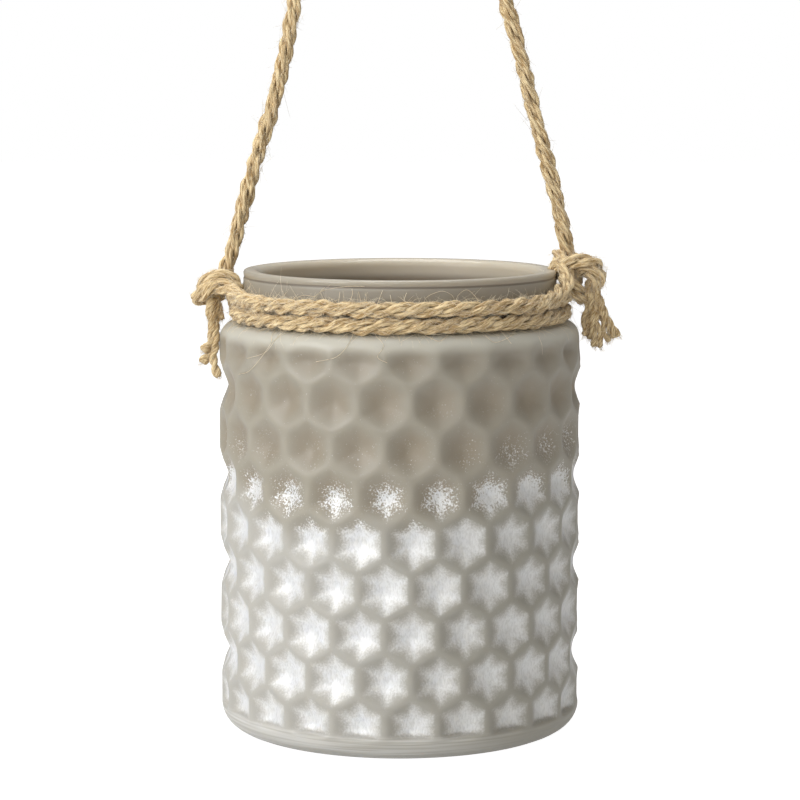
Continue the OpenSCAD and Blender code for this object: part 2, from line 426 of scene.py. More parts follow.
def relief_r(angle, z):
    """Outer radius with the cells sunk in, the cell metrics, and how strong the relief is: it
    fades from 1 to 0 towards the base and the shoulder."""
    found = cell_metrics(angle, z)
    _, soft, _, row, column = found
    fade = smoothstep(RELIEF_LOW_Z - 0.6 * MM, RELIEF_LOW_Z + 0.9 * MM, z)
    fade = fade * smoothstep(RELIEF_HIGH_Z, RELIEF_HIGH_Z - 9 * MM, z)
    dip = cell_dip(soft, row, column) * fade
    # The moulded wall is very slightly uneven.
    wave = 0.10 * MM * np.sin(5 * angle + 90 * z) + 0.08 * MM * np.sin(3 * angle - 160 * z)
    return wall_r(z) - dip + wave * fade, found, fade


def outside_points(columns):
    """The honeycomb wall. Near the mould's two parting lines nothing stands further out
    sideways than the line itself does, because the mould had to slide off."""
    step = CELL_SIDE / STEPS_PER_CELL
    first = math.floor((WALL_LOW_Z - FIRST_ROW_Z) / step) + 1
    last = math.ceil((WALL_HIGH_Z - FIRST_ROW_Z) / step) - 1
    z = FIRST_ROW_Z + step * np.arange(first, last + 1)[:, None]
    angle = PATTERN_TURN + TAU * np.arange(columns)[None, :] / columns
    radius, found, fade = relief_r(angle, z)
    for side in (1, -1):
        line = relief_r(np.array([[PATTERN_TURN + side * math.pi / 2]]), z)[0]
        sideways = side * np.sin(angle - PATTERN_TURN)
        limit = line / np.maximum(sideways, 1e-3)
        radius = np.where(sideways > NEAR_PARTING, np.minimum(radius, limit), radius)
    points = np.stack([radius * np.sin(angle), -radius * np.cos(angle),
                       np.broadcast_to(z, radius.shape)], -1)
    return points, found, np.broadcast_to(fade, radius.shape)


def neck_profile():
    """From the shoulder's top edge up the neck, past the groove, to the top of the rim."""
    profile = [(NECK_R + NECK_FOOT + 1.3 * MM, SHOULDER_Z - 0.1 * MM),
               (NECK_R + NECK_FOOT, SHOULDER_Z), (NECK_R + 0.45 * MM, SHOULDER_Z + 0.35 * MM),
               (NECK_R, SHOULDER_Z + NECK_FOOT)]
    profile += [(NECK_R, z * MM) for z in (163, 167, 171, 174)]
    profile += [(NECK_R, RIM_GROOVE_Z - 0.5 * MM),
                (NECK_R - RIM_GROOVE * 0.8, RIM_GROOVE_Z - 0.15 * MM),
                (NECK_R - RIM_GROOVE, RIM_GROOVE_Z + 0.1 * MM),
                (NECK_R - 0.1 * MM, RIM_GROOVE_Z + 0.5 * MM)]
    return profile + arc(NECK_R - RIM_OUT_R, JAR_H - RIM_OUT_R, RIM_OUT_R, 0, 90, 5)


def hollow_profile():
    """From the top of the rim down the mouth and the hollow to the middle of the floor."""
    profile = arc(MOUTH_R + RIM_IN_R, JAR_H - RIM_IN_R, RIM_IN_R, 90, 180, 8)
    profile += [(MOUTH_R, z * MM) for z in (171, 167, 163)]
    profile += arc(MOUTH_R, HOLLOW_TOP_Z, CAVITY_R - MOUTH_R, 80, 0, 6)
    profile += [(CAVITY_R, z * MM) for z in (140, 112, 84, 56, 28)]
    profile += arc(CAVITY_R - FLOOR_CORNER_R, FLOOR_Z + FLOOR_CORNER_R, FLOOR_CORNER_R, 0, -90, 6)
    return profile + [(r * MM, FLOOR_Z) for r in (30, 4)]


def jar_rings(profile, columns):
    """A profile turned round the axis, its columns in line with the honeycomb's."""
    rings = lathe(profile, columns)
    x, y = rings[..., 0].copy(), rings[..., 1].copy()
    rings[..., 0] = x * math.cos(PATTERN_TURN) - y * math.sin(PATTERN_TURN)
    rings[..., 1] = x * math.sin(PATTERN_TURN) + y * math.cos(PATTERN_TURN)
    return rings


def make_jar(material):
    columns = CELLS * STEPS_PER_CELL
    foot = jar_rings([(r, 0.0) for r in (4 * MM, 25 * MM, 45 * MM, JAR_R - BASE_R)], columns)
    wall, found, fade = outside_points(columns)
    neck = jar_rings(neck_profile(), columns)
    hollow = jar_rings(hollow_profile(), columns)
    points = np.concatenate([foot, wall, neck, hollow])

    shape = points.shape[:2]
    cells = slice(len(foot), len(foot) + len(wall))
    rim_top = len(foot) + len(wall) + len(neck) - 1
    attributes = {"reach": np.full(shape, NO_CELL), "star": np.full(shape, NO_STAR),
                  "relief": np.zeros(shape), "inside": np.zeros(shape)}
    reach, _, star, row, column = found
    attributes["reach"][cells] = reach
    attributes["star"][cells] = star + STAR_VARY * np.sin(7.7 * row + 5.3 * column ** 2)
    attributes["relief"][cells] = fade
    attributes["inside"][rim_top:] = 1
    flat = {name: values.ravel() for name, values in attributes.items()}
    jar = ring_piece("jar_glass", points, material, flat)
    place(jar, "jar", "frosted_glass", "glass_jar")


def unsilvered_glass(n, cloud):
    """Colour without silver: browner at the cells' centres and greyer on the ridges, a painted
    highlight that makes the shoulder lighter, darker on the neck, painted shade in the rim's groove,
    and brown in the hollow, with painted shade that darkens it deep inside and lightens it near the
    rim."""
    z = n.split(n.position())["Z"]
    cell = n.ramp(n.attribute("reach").outputs["Fac"], 0.95, 0.35)
    in_cell = n.math("MULTIPLY", cell, n.attribute("relief").outputs["Fac"])
    inside = n.attribute("inside").outputs["Fac"]
    glass = n.mix(in_cell, (0.362, 0.334, 0.272), (0.350, 0.302, 0.228))
    glass = n.mix(n.ramp(cloud, 0.35, 0.7, 0, 0.35), glass, (0.38, 0.345, 0.285))
    # Painted highlight: the shoulder's top is made lighter, as if lit from above.
    shoulder = n.ramp(z, SHOULDER_Z - 8 * MM, SHOULDER_Z - 3 * MM, 0, 0.8)
    glass = n.mix(shoulder, glass, (0.56, 0.545, 0.475))
    neck = n.ramp(z, SHOULDER_Z - 1 * MM, SHOULDER_Z + 1 * MM)
    glass = n.mix(neck, glass, (0.325, 0.295, 0.24))
    # Painted shade: the rim's groove is darkened as if shade lay in it.
    groove = n.ramp(n.math("ABSOLUTE", n.math("SUBTRACT", z, RIM_GROOVE_Z)), 0.6 * MM, 0.2 * MM)
    glass = n.mix(n.math("MULTIPLY", groove, 0.7), glass, (0.16, 0.13, 0.10))
    # Painted shade in the hollow: dark brown deep inside, and painted lighter near the rim where light
    # falls in.
    lit_near_rim = n.ramp(z, JAR_H - 9 * MM, JAR_H - 5 * MM)
    hollow = n.mix(lit_near_rim, (0.22, 0.17, 0.115), (0.50, 0.45, 0.36))
    return n.mix(n.ramp(inside, 0.4, 0.6), glass, hollow)


def below_silver_edge(n, cloud):
    """How far a point is below the silver's edge, which is uneven and higher at the sides."""
    where = n.split(n.position())
    edge = n.ramp(where["X"], -20 * MM, 65 * MM, 94 * MM, 105 * MM)
    edge = n.math("ADD", edge, n.math("MULTIPLY", cloud, 12 * MM))
    edge = n.math("ADD", edge, n.ramp(where["X"], -40 * MM, -66 * MM, 0, 9 * MM))
    return n.math("SUBTRACT", edge, where["Z"])


def silver_cover(n, below, deep):
    """How much silver shows: stars that fill the cells low down and break up into specks above,
    scattered sparkles past their edge, and a coating on the inside."""
    where = n.position()
    z = n.split(where)["Z"]
    reach = n.attribute("reach").outputs["Fac"]
    star = n.attribute("star").outputs["Fac"]
    fine = n.noise(where, 1350, 3, 0.7)
    height = n.ramp(below, -21 * MM, 18 * MM)
    in_star = n.math("MULTIPLY", n.ramp(star, 1.15, 0.20, smooth=False), n.ramp(reach, 1.0, 0.82))
    cover = n.math("MULTIPLY", n.math("MULTIPLY", in_star, height), n.ramp(z, 8 * MM, 12 * MM))
    speckle = n.math("MULTIPLY", n.math("SUBTRACT", fine, 0.5), n.ramp(deep, 0, 1, 2.2, 0.75))
    silver = n.ramp(n.math("ADD", cover, speckle), n.ramp(deep, 0, 1, 0.36, 0.02),
                    n.ramp(deep, 0, 1, 0.62, 0.86))
    cluster = n.ramp(n.noise(where, 210, 2), 0.5, 0.62)
    sparse = n.math("MULTIPLY", cluster, n.ramp(fine, 0.60, 0.68))
    sparse = n.math("MULTIPLY", sparse, n.ramp(star, 1.1, 0.5))
    sparse = n.math("MULTIPLY", sparse, n.ramp(below, -40 * MM, -12 * MM, 0, 0.8))
    silver = n.math("MAXIMUM", silver, sparse)
    silver = n.math("MULTIPLY", silver, n.attribute("relief").outputs["Fac"])
    coating = n.ramp(n.attribute("inside").outputs["Fac"], 0.4, 0.6, 0, 0.75)
    return n.math("MAXIMUM", silver, n.math("MULTIPLY", coating, height))


def low_glass(n):
    """The ridges low on the jar, with painted light from the silver behind them and painted shade that
    makes them darker towards +X, and streaks round the base painted stronger towards -X, where the key
    light falls.
    """
    where = n.position()
    x = n.split(where)["X"]
    z = n.split(where)["Z"]
    lines = n.noise(n.scaled(where, (25, 25, 1500)), 1.0, 2)
    band = n.math("MULTIPLY", n.ramp(z, 11 * MM, 8 * MM), n.ramp(lines, 0.35, 0.62))
    # Painted light: the streaks fade towards +X, away from the key light.
    band = n.math("MULTIPLY", band, n.ramp(x, 55 * MM, 0.0, 0.05, 0.5))
    # Painted light and shade: the ridges are lighter towards -X, where the key light is, and darker
    # towards +X.
    ridge = n.mix(n.ramp(x, -55 * MM, 55 * MM), (0.49, 0.48, 0.445), (0.36, 0.345, 0.295))
    return n.mix(band, ridge, (0.80, 0.80, 0.78))


def silver_frost(n):
    """Colour of the silver: frosted white with grey streaks, with painted shade that makes it greyer
    towards +X, away from the key light.
    """
    where = n.position()
    streak = n.noise(n.scaled(where, (1500, 1500, 500)), 1.0, 3, 0.6)
    frost = n.mix(n.ramp(streak, 0.38, 0.66, 0, 0.6), (0.95, 0.95, 0.94), (0.66, 0.655, 0.635))
    # Painted shade: greyer towards +X, away from the key light.
    right = n.ramp(n.split(where)["X"], -30 * MM, 30 * MM, 0, 0.3)
    return n.mix(right, frost, (0.50, 0.495, 0.47))


def glass_material():
    """Frosted greige glass, silvered behind the cells below the middle, with a speckled edge."""
    n = Nodes("frosted_silvered_glass")
    where = n.position()
    cloud = n.noise(where, 45, 3)
    below = below_silver_edge(n, cloud)
    deep = n.ramp(below, 4 * MM, 22 * MM)
    silver = silver_cover(n, below, deep)
    glass = n.mix(n.math("MULTIPLY", deep, 0.85), unsilvered_glass(n, cloud), low_glass(n))
    n.set(Base_Color=n.mix(silver, glass, silver_frost(n)),
          Metallic=n.math("MULTIPLY", silver, 0.15),
          Roughness=n.ramp(silver, 0, 1, 0.5, 0.42),
          Normal=n.bump(n.noise(where, 2600, 2, 0.7), 0.16, 0.2 * MM))
    rim = n.ramp(n.split(where)["Z"], JAR_H - 2.5 * MM, JAR_H - 1.5 * MM)
    n.set(Coat_Weight=n.ramp(rim, 0, 1, 0.25, 0.5), Coat_Roughness=n.ramp(rim, 0, 1, 0.3, 0.12))
    n.set(Subsurface_Weight=0.7, Subsurface_Scale=11 * MM)
    n.shader.inputs["Subsurface Radius"].default_value = (1.0, 0.9, 0.75)
    return n.material


# ---------------------------------------------------------------- rope
STRANDS = 3
YARNS = 3
LAY_PITCH = 24 * MM
YARN_PITCH = 15 * MM
WOBBLE_PITCH = 31 * MM
CURVE_STEPS = 24
RING_STEP = 0.9 * MM
YARN_SIDES = 8
# Shares of the rope's radius: how far out its strands and yarns lie, and how thick a yarn is.
STRAND_AT = 0.49
YARN_AT = 0.27
YARN_R = 0.30
# Each turn of the neck rope starts here, in degrees from the front, positive towards +X.
TURN_START_DEG = -188
TURN_POINTS = 90
# Knots: how much thicker the rope is there, and the fibres of each kind on each length.
KNOT_SWELL = 1.07
KNOT_FIBRES = 260
# A tail's yarn: two plies, and the tuft of fibres where it was cut.
TAIL_STEP = 0.6 * MM
PLY_PITCH = 9 * MM
TUFT_FIBRES = 26
# Fibres: how far they turn away from the rope, from lying along it to standing out.
LYING = 0.12
LEANING = 0.55
HANDLE_LEAN = 0.6
STANDING = 0.8
FIBRE_RINGS = 5
FIBRE_SIDES = 3
# The depth attribute of single fibres, well past that of any yarn.
LOOSE = 1.6
# Sets how a fibre's rings are turned. Any direction does that no fibre runs along.
ANY_SIDE = (0.31, 0.53, 0.79)


def smooth_path(points, step):
    """A Catmull-Rom curve through the points, with points step apart along it."""
    p = np.array(points, float)
    p = np.concatenate([[2 * p[0] - p[1]], p, [2 * p[-1] - p[-2]]])
    t = np.linspace(0, 1, CURVE_STEPS, endpoint=False)[:, None]
    parts = []
    for a, b, c, d in zip(p[:-3], p[1:-2], p[2:-1], p[3:]):
        parts.append(0.5 * (2 * b + (c - a) * t + (2 * a - 5 * b + 4 * c - d) * t ** 2
                            + (3 * b - a - 3 * c + d) * t ** 3))
    curve = np.concatenate(parts + [p[-2][None]])
    run = np.concatenate([[0], np.cumsum(np.linalg.norm(np.diff(curve, axis=0), axis=1))])
    count = max(int(round(run[-1] / step)), 2)
    at = np.linspace(0, run[-1], count + 1)
    return np.stack([np.interp(at, run, curve[:, k]) for k in range(3)], -1)


def unit(v):
    return v / np.maximum(np.linalg.norm(v, axis=-1, keepdims=True), 1e-12)


def frames(path):
    """Tangents and two normals that turn as little as they can along the path."""
    along = unit(np.gradient(path, axis=0))
    first = np.cross(along[0], (0, 1, 0))
    if np.linalg.norm(first) < 0.2:
        first = np.cross(along[0], (1, 0, 0))
    normals = [first / np.linalg.norm(first)]
    for t in along[1:]:
        side = normals[-1] - np.dot(normals[-1], t) * t
        normals.append(side / np.linalg.norm(side))
    normals = np.array(normals)
    return along, normals, np.cross(along, normals)


class Threads:
    """Collects tubes into one mesh, with what the rope's material needs to know of them."""

    def __init__(self, seed):
        self.random = np.random.default_rng(seed)
        self.points, self.faces, self.fibre, self.depth = [], [], [], []
        self.count = 0

    def tube(self, path, radii, sides, normal, depth, offset):
        """Depth is one number, or a function of the points. The offset makes grains differ."""
        along = unit(np.gradient(path, axis=0))
        u = unit(normal - (normal * along).sum(-1, keepdims=True) * along)
        v = np.cross(along, u)
        turn = TAU * np.arange(sides) / sides
        ring = u[:, None] * np.cos(turn)[:, None] + v[:, None] * np.sin(turn)[:, None]
        radii = np.broadcast_to(radii, len(path))[:, None, None]
        points = path[:, None] + ring * radii
        run = np.concatenate([[0], np.cumsum(np.linalg.norm(np.diff(path, axis=0), axis=1))])
        fibre = np.empty(points.shape)
        fibre[..., 0] = run[:, None] + offset
        fibre[..., 1] = np.cos(turn) * radii[..., 0] + offset * 0.37
        fibre[..., 2] = np.sin(turn) * radii[..., 0] + offset * 0.71
        depth = depth(points) if callable(depth) else depth
        self.add(points, fibre, np.broadcast_to(depth, points.shape[:2]))

    def add(self, points, fibre, depth):
        rings, sides = points.shape[:2]
        self.faces += grid_faces(rings, sides, self.count)
        self.faces.append([self.count + k for k in range(sides)][::-1])
        last = self.count + (rings - 1) * sides
        self.faces.append([last + k for k in range(sides)])
        self.points.append(points.reshape(-1, 3))
        self.fibre.append(fibre.reshape(-1, 3))
        self.depth.append(depth.reshape(-1))
        self.count += rings * sides

    def piece(self, name, material):
        attributes = {"fibre": np.concatenate(self.fibre), "depth": np.concatenate(self.depth)}
        return make_piece(name, np.concatenate(self.points), self.faces, material, attributes)


def lay_rope(threads, route, radius=ROPE_R, start_turn=0.0):
    """A rope of three strands laid round each other, each of three yarns. Its depth attribute is
    the distance from the rope's middle line, as a share of its radius."""
    path = smooth_path(route, RING_STEP)
    along, u, v = frames(path)
    run = np.linspace(0, RING_STEP * (len(path) - 1), len(path))
    share = np.linspace(0, 1, len(path))

    def depth(points):
        return np.linalg.norm(points - path[:, None], axis=-1) / radius

    for s in range(STRANDS):
        wobble = 0.10 * np.sin(run * TAU / WOBBLE_PITCH + 2.1 * s + start_turn)
        turn = TAU * s / STRANDS - TAU * run / LAY_PITCH + start_turn + wobble
        out = np.cos(turn)[:, None] * u + np.sin(turn)[:, None] * v
        strand = path + out * (STRAND_AT * radius)
        side = np.cross(along, out)
        for y in range(YARNS):
            offset = threads.random.uniform(0, 5)
            lump = threads.random.normal(0, 1, len(path) // 3 + 4)
            lump = np.interp(share * (len(lump) - 1), np.arange(len(lump)), lump)
            twist = TAU * y / YARNS + TAU * run / YARN_PITCH + 1.3 * s
            around = np.cos(twist)[:, None] * out + np.sin(twist)[:, None] * side
            yarn = strand + around * (YARN_AT * radius * (1 + 0.12 * lump))[:, None]
            yarn += out * (0.04 * radius * lump)[:, None]
            threads.tube(yarn, YARN_R * radius * (1 + 0.07 * lump), YARN_SIDES, out, depth, offset)
    return path


def add_fuzz(threads, path, count, radius=ROPE_R, longest=4.0, outward=LEANING, clear=None):
    """Short fibres that stand out of the rope, thin and curved. The longest is in millimetres,
    and outward says how far they turn away from the rope. clear moves them off other things."""
    rng = threads.random
    along, u, v = frames(path)
    at = rng.integers(1, len(path) - 1, count)
    turn = rng.uniform(0, TAU, count)
    out = np.cos(turn)[:, None] * u[at] + np.sin(turn)[:, None] * v[at]
    heading = along[at] * rng.choice([-1, 1], count)[:, None]
    lean = rng.uniform(0.15, 1.0, count)[:, None] * outward
    start = unit(heading * (1 - lean) + out * lean + rng.normal(0, 0.22, (count, 3)))
    bend = rng.normal(0, 0.45, (count, 3)) - out * 0.15
    length = MM * np.minimum(0.8 + rng.exponential(longest * 0.38, count), longest * 1.6)
    root_share = 1.0 if outward == LYING else 0.88
    root = path[at] + out * radius * root_share
    thick = MM * rng.uniform(0.05, 0.09, count)
    t = np.linspace(0, 1, FIBRE_RINGS)
    lines = (root[:, None] + length[:, None, None]
             * (t[:, None] * start[:, None] + (t ** 2)[:, None] * bend[:, None]))
    if clear is not None:
        lines = clear(lines)
    for line, first, thickness in zip(lines, start, thick):
        side = unit(np.cross(first, ANY_SIDE))
        threads.tube(line, thickness * (1 - 0.6 * t), FIBRE_SIDES, np.broadcast_to(side, line.shape),
                     LOOSE, rng.uniform(0, 5))


def rope_material():
    """Jute: long pale and dark fibres along each yarn, with painted shade that darkens it deep between
    the strands.
    """
    n = Nodes("jute")
    fibre = n.attribute("fibre").outputs["Vector"]
    depth = n.attribute("depth").outputs["Fac"]
    long_grain = n.noise(n.scaled(fibre, (220, 1500, 1500)), 1.0, 3, 0.6)
    fine_grain = n.noise(n.scaled(fibre, (600, 3600, 3600)), 1.0, 2, 0.6)
    patch = n.noise(n.scaled(fibre, (60, 300, 300)), 1.0, 2, 0.5)
    colour = n.mix(n.ramp(long_grain, 0.36, 0.62), (0.43, 0.27, 0.11), (0.98, 0.79, 0.47))
    colour = n.mix(n.ramp(fine_grain, 0.52, 0.75, 0, 0.55), colour, (1.0, 0.85, 0.56))
    colour = n.mix(n.ramp(patch, 0.5, 0.72, 0, 0.5), colour, (0.55, 0.40, 0.23))
    colour = n.mix(n.ramp(depth, 1.40, 1.55, 0, 0.8), colour, (1.0, 0.90, 0.71))
    fleck = n.noise(n.scaled(fibre, (420, 1900, 1900)), 1.0, 2, 0.5)
    colour = n.mix(n.ramp(fleck, 0.60, 0.72, 0, 0.7), colour, (0.30, 0.17, 0.06))
    # Painted shade: darker deep between the strands and yarns, where shade falls.
    deep = n.ramp(depth, 0.35, 0.78, 0.7, 0)
    colour = n.mix(deep, colour, (0.20, 0.13, 0.06))
    height = n.math("ADD", long_grain, n.math("MULTIPLY", fine_grain, 0.6))
    n.set(Base_Color=colour, Roughness=0.85, Normal=n.bump(height, 0.9, 0.6 * MM))
    n.set(Sheen_Weight=0.15, Sheen_Roughness=0.6, Specular_IOR_Level=0.25)
    return n.material


def turn_route(z):
    """A route once round the neck, in metres. It starts and ends near the back."""
    angles = np.radians(np.linspace(TURN_START_DEG, TURN_START_DEG + 360, TURN_POINTS))
    return [(TURN_R * math.sin(a), -TURN_R * math.cos(a), z) for a in angles]


def skin_r(z):
    """Radius of the glass's outside at a height, cells left out."""
    return np.where(z > SHOULDER_Z, NECK_R, wall_r(np.clip(z, 0, SHOULDER_Z)))


def keep_off_glass(lines):
    """Moves what a fibre has inside the glass out to the glass's surface."""
    r = np.hypot(lines[..., 0], lines[..., 1])
    skin = skin_r(lines[..., 2]) + 0.12 * MM
    too_deep = (r < skin) & (lines[..., 2] < JAR_H)
    grow = np.where(too_deep, skin / np.maximum(r, 1e-6), 1.0)
    moved = lines.copy()
    moved[..., 0] *= grow
    moved[..., 1] *= grow
    return moved


# Long fibres that lie on the glass, as (X, Z) in millimetres at the front of the jar.
STRAY_BELOW = [
    [(-17.0, 159.5), (-18.4, 156.0), (-23.1, 150.9), (-30.7, 148.7)],
    [(-46.5, 158.5), (-48.4, 153.1), (-55.6, 143.6), (-60.5, 141.0)],
    [(-44.0, 158.0), (-49.6, 151.0), (-57.2, 147.5)],
    [(36.0, 160.0), (38.6, 157.4), (40.9, 154.6)],
    [(31.0, 158.0), (35.2, 155.4), (42.0, 157.6)],
    [(-9.0, 158.5), (-6.0, 155.2), (-8.2, 151.2), (-4.6, 149.0)],
    [(9.0, 158.5), (14.0, 156.6), (17.0, 158.0)]]
STRAY_ABOVE = [
    [(8.6, 169.6), (9.9, 172.2), (15.3, 174.2), (19.3, 172.3), (20.0, 169.4)],
    [(20.2, 169.6), (21.4, 172.6), (24.6, 174.4), (28.0, 171.4), (28.6, 169.0)],
    [(-33.0, 169.4), (-29.0, 173.6), (-21.0, 175.6), (-13.0, 176.0)],
    [(-22.6, 169.2), (-22.0, 173.8)], [(-19.0, 169.2), (-17.4, 173.0), (-17.6, 175.0)],
    [(-14.0, 169.2), (-15.2, 174.0)], [(-8.4, 169.2), (-6.4, 174.6)], [(0.6, 169.2), (2.4, 173.8)],
    [(-2.8, 169.2), (-3.6, 173.0)], [(-40.6, 169.4), (-36.0, 171.8), (-31.6, 171.6)],
    [(-27.0, 169.2), (-29.2, 173.4), (-27.6, 175.2)]]


def lay_strays(threads, strays):
    """Long single fibres resting on the glass."""
    for spots in strays:
        x, z = MM * np.array(spots).T
        r = skin_r(z) + 0.3 * MM
        r[0] += 1.5 * MM
        route = np.stack([x, -np.sqrt(r ** 2 - x ** 2), z], -1)
        line = keep_off_glass(smooth_path(route, 0.8 * MM))
        threads.tube(line, 0.1 * MM, FIBRE_SIDES, np.broadcast_to(ANY_SIDE, line.shape), LOOSE,
                     threads.random.uniform(0, 5))


def stretch(path, first, last):
    """The part of a path between two shares of its length, in twentieths."""
    return path[len(path) * first // 20:len(path) * last // 20]


# The fuzz on a turn: where along it in twentieths, number of fibres, longest and outward.
LOWER_FUZZ = [(0, 20, 1000, 3.2, LEANING), (0, 20, 1500, 5.0, LYING), (6, 15, 700, 3.0, STANDING)]
UPPER_FUZZ = [(0, 20, 1100, 4.0, LEANING), (0, 20, 1500, 5.0, LYING), (6, 10, 420, 7.0, LEANING),
              (6, 15, 900, 3.4, STANDING)]


def neck_turn(name, seed, material, z, start_turn, fuzz, strays):
    """One turn of the neck rope, with its fuzz and the long fibres beside it."""
    threads = Threads(seed)
    path = lay_rope(threads, turn_route(z), start_turn=start_turn)
    for first, last, count, longest, outward in fuzz:
        add_fuzz(threads, stretch(path, first, last), count, longest=longest, outward=outward,
                 clear=keep_off_glass)
    lay_strays(threads, strays)
    return threads.piece(name, material)


def make_neck_rope(material):
    lower = neck_turn("neck_rope_lower", 11, material, LOWER_TURN_Z, 0.4, LOWER_FUZZ, STRAY_BELOW)
    place(lower, "jar", "jute_rope", "neck_rope_lower_turn")
    upper = neck_turn("neck_rope_upper", 12, material, UPPER_TURN_Z, 2.0, UPPER_FUZZ, STRAY_ABOVE)
    place(upper, "jar", "jute_rope", "neck_rope_upper_turn")


def metres(points):
    return [tuple(c * MM for c in p) for p in points]


# The routes of each knot's rope, in millimetres.
LEFT_KNOT = [
    # rise of the neck rope at the front, over the knot's middle and out into the far loop
    [(-50, -40, 166.5), (-56, -31, 167.5), (-60.5, -22, 168.5), (-63.5, -13.5, 170),
     (-67, -9, 171.8), (-71, -7.5, 172), (-75, -5.5, 169.8), (-78, -2.5, 167.6), (-77.5, 1.5, 166.6),
     (-73.5, 4, 167.5), (-69, 4.5, 169)],
    # the arch over the handle's foot
    [(-64.6, 2, 166.5), (-63.2, -4.5, 168.5), (-63.6, -7.6, 172), (-66.8, -7.8, 174.9),
     (-71, -6.6, 175.4), (-74.8, -3.8, 173), (-75.6, 0, 169.6), (-73, 3, 166.5)],
    # the turn behind
    [(-66, 6, 168), (-69, 6.5, 172.5), (-72.5, 4.5, 174), (-74, 0, 171), (-72.5, -3.5, 167)],
]
RIGHT_KNOT = [
    # rise of the neck rope at the front, up round the handle's foot and over behind it
    [(49, -41, 166.5), (54.5, -33, 167.6), (59, -24, 169), (62.4, -15.5, 171.6), (64, -9.5, 175.6),
     (62.6, -5.5, 180), (61.6, -0.5, 183), (63.5, 4.5, 182.6), (68.5, 6, 180), (73, 4.5, 177.5)],
    # the band across the front
    [(60.5, 5, 176.5), (60.4, -1, 178.6), (63.2, -6.2, 180.4), (68, -7.6, 181.6),
     (73, -6.2, 180.6), (76.4, -3, 177.6), (76.6, 0.5, 174), (73.5, 2.5, 171)],
    # the turn on the right that goes down into the tail
    [(66.5, 3, 174), (69.5, -2.5, 177.6), (73.4, -5.8, 177.6), (75.8, -5.4, 174.2),
     (74.2, -4, 170.4), (73.4, -3.4, 167.5)],
    # the end tucked under, between the rise and the tail
    [(62.8, -1, 177), (65.4, -4.4, 173.4), (68.2, -4.6, 169.8), (70.2, -2.6, 167.4), (71, 0.5, 167)],
]


def make_knot(name, seed, material, routes, node):
    """A knot of laid rope, one length along each route, with its fuzz."""
    threads = Threads(seed)
    for k, route in enumerate(routes):
        path = lay_rope(threads, metres(route), radius=ROPE_R * KNOT_SWELL, start_turn=1.7 * k)
        add_fuzz(threads, path, KNOT_FIBRES, longest=2.8, clear=keep_off_glass)
        add_fuzz(threads, path, KNOT_FIBRES, longest=4.0, outward=LYING, clear=keep_off_glass)
    place(threads.piece(name, material), "jar", "jute_rope", node)


# The routes of the left tail's yarns and the ends of the right tail's, in millimetres.
LEFT_TAIL_STRANDS = [
    [(-73, -2.5, 167), (-73.6, -3.4, 161), (-72.6, -3.9, 155), (-73.4, -4.2, 150.4),
     (-74.8, -4.6, 148), (-76, -4.8, 146.6)],
    [(-73.4, -2, 167), (-73.4, -2.4, 161), (-71.9, -2.7, 155), (-72.4, -3.0, 150), (-73.6, -3.6, 146),
     (-75.4, -4.2, 143.6), (-76.4, -4.4, 142)],
    [(-72.6, -2, 167), (-72.7, -2.9, 161), (-71.4, -3.6, 155), (-71.3, -4.2, 149), (-72.2, -5, 144),
     (-71.4, -5.6, 140), (-70.2, -6, 136.6)],
    [(-70.8, 1.0, 168), (-70.4, 0.4, 163.8), (-69.9, -0.2, 160.6), (-69.7, -0.8, 158.4)],
    [(-71.8, 0, 168), (-71.4, -0.8, 163), (-71.2, -1.4, 158.5), (-71.5, -1.9, 154.5), (-72, -2.3, 151)],
]
RIGHT_TAIL_ENDS = [(70.8, -5.0, 152.6), (73.2, -2.6, 151.0), (75.2, -5.6, 148.4), (77.8, -3.6, 148.0),
                   (80.4, -5.4, 150.4), (82.4, -2.4, 151.6), (84.3, -4.2, 152.2)]


def fray_end(threads, end, heading, radius):
    """A tuft of short fibres where a yarn was cut."""
    rng = threads.random
    t = np.linspace(0, 1, 4)[:, None]
    for _ in range(TUFT_FIBRES):
        spread = unit(heading + rng.normal(0, 0.32, 3))
        root = end + rng.normal(0, radius * 0.45, 3)
        bend = rng.normal(0, 0.3, 3)
        length = MM * rng.uniform(0.6, 1.8)
        line = root + length * (t * spread + t ** 2 * bend)
        side = unit(np.cross(spread, (0.2, 0.9, 0.4)))
        threads.tube(line, 0.06 * MM * (1 - 0.5 * t[:, 0]), FIBRE_SIDES,
                     np.broadcast_to(side, line.shape), 1.0, rng.uniform(0, 5))


def single_yarn(threads, route, radius):
    """One yarn of two plies, swollen and cut off at its far end."""
    path = smooth_path(route, TAIL_STEP)
    along, u, v = frames(path)
    share = np.linspace(0, 1, len(path))
    run = np.linspace(0, TAIL_STEP * (len(path) - 1), len(path))
    for ply in range(2):
        turn = math.pi * ply + TAU * run / PLY_PITCH + threads.random.uniform(0, TAU)
        out = np.cos(turn)[:, None] * u + np.sin(turn)[:, None] * v
        lump = np.interp(share * 9, np.arange(10), threads.random.normal(0, 1, 10))
        swell = 1 + 0.35 * smoothstep(0.86, 0.97, share) - 0.5 * smoothstep(0.97, 1.0, share)
        line = path + out * radius * 0.44
        threads.tube(line, radius * 0.72 * swell * (1 + 0.06 * lump), YARN_SIDES, out, 0.85,
                     threads.random.uniform(0, 5))
    fray_end(threads, path[-1], along[-1], radius)
    return path


def right_tail_route(end, sway):
    """From inside the knot down to one of the splayed ends."""
    lean = (end[0] - 77) / 7
    return [(74 + 1.6 * lean, -3.6 + 0.5 * sway, 171), (74.4 + 2.8 * lean, -4.0 + 0.9 * sway, 166),
            (75.4 + 4.6 * lean, -4 + 1.1 * sway, 159), end]


